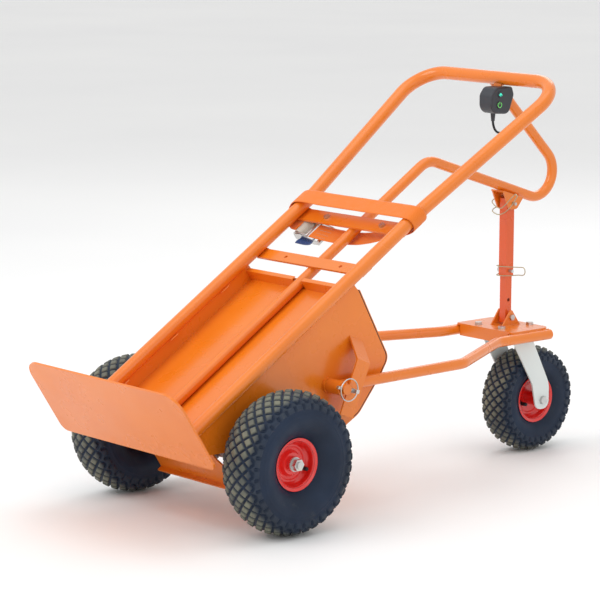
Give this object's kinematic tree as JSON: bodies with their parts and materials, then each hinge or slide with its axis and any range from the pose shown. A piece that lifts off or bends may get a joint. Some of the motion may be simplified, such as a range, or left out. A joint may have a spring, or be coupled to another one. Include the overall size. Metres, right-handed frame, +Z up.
{
  "type": "powered_hand_truck",
  "caption": "Orange tubular hand truck with powered drive wheels, a battery bay, a rear castor outrigger on a telescopic post, a webbing strap and a push-button pod",
  "frame": {"origin": "centre of the footprint, on the floor", "axes": "+X is the truck's left-hand side seen from the handle, +Y runs from the toe plate to the rear castor, +Z is up"},
  "size_m": [0.6602, 1.4564, 0.9473],
  "materials": {
    "orange_paint": "gloss",
    "red_paint": "gloss",
    "grey_paint": "semi-gloss",
    "zinc": "satin",
    "tyre": "matte",
    "rubber": "matte",
    "pod_plastic": "matte",
    "power_key": "gloss",
    "drive_key": "gloss",
    "webbing": "matte",
    "roll_webbing": "matte",
    "battery_case": "matte",
    "cast_alloy": "cast",
    "motor_case": "semi-gloss"
  },
  "bodies": {
    "frame": {"toe_plate": "orange_paint", "handle_frame": "orange_paint", "crossbars": "orange_paint", "crossbar_bolts": "zinc", "deck_tray": "orange_paint", "side_plate_left": "orange_paint", "side_plate_right": "orange_paint", "axle_carrier": "orange_paint", "bay_wall": "orange_paint", "rear_cover": "orange_paint", "cover_seals": "rubber", "cover_screws": "zinc", "keeper_brackets": "orange_paint", "pivot_shaft": "orange_paint", "post_bracket": "orange_paint", "centre_tube": "orange_paint", "battery_pack": "battery_case", "motor_controller": "cast_alloy", "transaxle": "cast_alloy", "drive_motor": "motor_case", "axle_bearings": "cast_alloy", "switch_tab": "orange_paint", "pod_back": "pod_plastic", "pod_front": "pod_plastic", "pod_cable": "rubber", "strap_webbing": "webbing", "ratchet_frame": "zinc"},
    "wheel_left": {"half_axle_left": "zinc", "hub_left": "red_paint", "rim_left": "red_paint", "tyre_left": "tyre"},
    "wheel_right": {"half_axle_right": "zinc", "hub_right": "red_paint", "rim_right": "red_paint", "tyre_right": "tyre"},
    "outrigger": {"outrigger_arm_left": "orange_paint", "outrigger_arm_right": "orange_paint", "outrigger_plate": "orange_paint", "clevis_ears": "orange_paint", "clevis_bolt": "zinc", "castor_plate": "grey_paint", "castor_bolts": "zinc"},
    "castor_fork": {"castor_fork": "grey_paint", "kingpin": "zinc", "castor_axle": "zinc"},
    "castor_wheel": {"castor_hub": "red_paint", "castor_rim": "red_paint", "castor_tyre": "tyre"},
    "lower_post": {"lower_post": "orange_paint"},
    "upper_post": {"upper_post": "orange_paint"},
    "post_pin": {"post_pin": "zinc"},
    "post_clip": {"post_clip": "zinc"},
    "top_pin": {"top_pin": "zinc"},
    "top_clip": {"top_clip": "zinc"},
    "linch_pin_left": {"linch_pin_left": "zinc"},
    "linch_pin_right": {"linch_pin_right": "zinc"},
    "power_button": {"power_button": "power_key"},
    "drive_button": {"drive_button": "drive_key"},
    "ratchet_spool": {"ratchet_spool": "roll_webbing"},
    "ratchet_handle": {"ratchet_handle": "zinc"}
  },
  "joints": [
    {"name": "left_wheel_spin", "type": "hinge", "parent": "frame", "child": "wheel_left", "pos_m": [0.274, -0.42, 0.16], "axis": [1, 0, 0], "continuous": true},
    {"name": "right_wheel_spin", "type": "hinge", "parent": "frame", "child": "wheel_right", "pos_m": [-0.274, -0.42, 0.16], "axis": [1, 0, 0], "continuous": true},
    {"name": "outrigger_fold", "type": "hinge", "parent": "frame", "child": "outrigger", "pos_m": [0, -0.228, 0.293], "axis": [-1, 0, 0], "range_deg": [0, 5]},
    {"name": "post_swing", "type": "hinge", "parent": "outrigger", "child": "lower_post", "pos_m": [0, 0.516, 0.342], "axis": [-1, 0, 0], "range_deg": [-5.4, 0]},
    {"name": "post_telescope", "type": "slide", "parent": "lower_post", "child": "upper_post", "axis": [0, 0, 1], "range_m": [0, 0.0655]},
    {"name": "post_pin_pull", "type": "slide", "parent": "upper_post", "child": "post_pin", "axis": [-1, 0, 0], "range_m": [0, 0.06]},
    {"name": "post_clip_swing", "type": "hinge", "parent": "post_pin", "child": "post_clip", "pos_m": [-0.02, 0.516, 0.456], "axis": [0, 0, -1], "range_deg": [0, 100]},
    {"name": "top_pin_pull", "type": "slide", "parent": "frame", "child": "top_pin", "axis": [-1, 0, 0], "range_m": [0, 0.065]},
    {"name": "top_clip_swing", "type": "hinge", "parent": "top_pin", "child": "top_clip", "pos_m": [-0.0275, 0.516, 0.622], "axis": [0, 0, -1], "range_deg": [0, 100]},
    {"name": "castor_swivel", "type": "hinge", "parent": "outrigger", "child": "castor_fork", "pos_m": [0, 0.516, 0.3], "axis": [0, 0, 1], "continuous": true},
    {"name": "castor_wheel_spin", "type": "hinge", "parent": "castor_fork", "child": "castor_wheel", "pos_m": [0, 0.596, 0.1305], "axis": [1, 0, 0], "continuous": true},
    {"name": "left_linch_pin_pull", "type": "slide", "parent": "frame", "child": "linch_pin_left", "axis": [0, 0.9588, -0.284], "range_m": [0, 0.06]},
    {"name": "right_linch_pin_pull", "type": "slide", "parent": "frame", "child": "linch_pin_right", "axis": [0, 0.9588, -0.284], "range_m": [0, 0.06]},
    {"name": "power_button_press", "type": "slide", "parent": "frame", "child": "power_button", "axis": [-1, 0, 0], "range_m": [0, 0.0013], "stiffness_N_per_m": 300},
    {"name": "drive_button_press", "type": "slide", "parent": "frame", "child": "drive_button", "axis": [-1, 0, 0], "range_m": [0, 0.0013], "stiffness_N_per_m": 300},
    {"name": "ratchet_handle_swing", "type": "hinge", "parent": "frame", "child": "ratchet_handle", "pos_m": [-0.16, 0.00276, 0.58605], "axis": [0, 0.8434, 0.5373], "range_deg": [0, 120]},
    {"name": "ratchet_spool_turn", "type": "hinge", "parent": "frame", "child": "ratchet_spool", "pos_m": [-0.16, 0.00276, 0.58605], "axis": [0, 0.8434, 0.5373], "continuous": true}
  ],
  "couplings": [
    {"joint": "post_swing", "follows": "outrigger_fold", "ratio": -1.047},
    {"joint": "post_telescope", "follows": "outrigger_fold", "m_per_rad": 0.745}
  ]
}
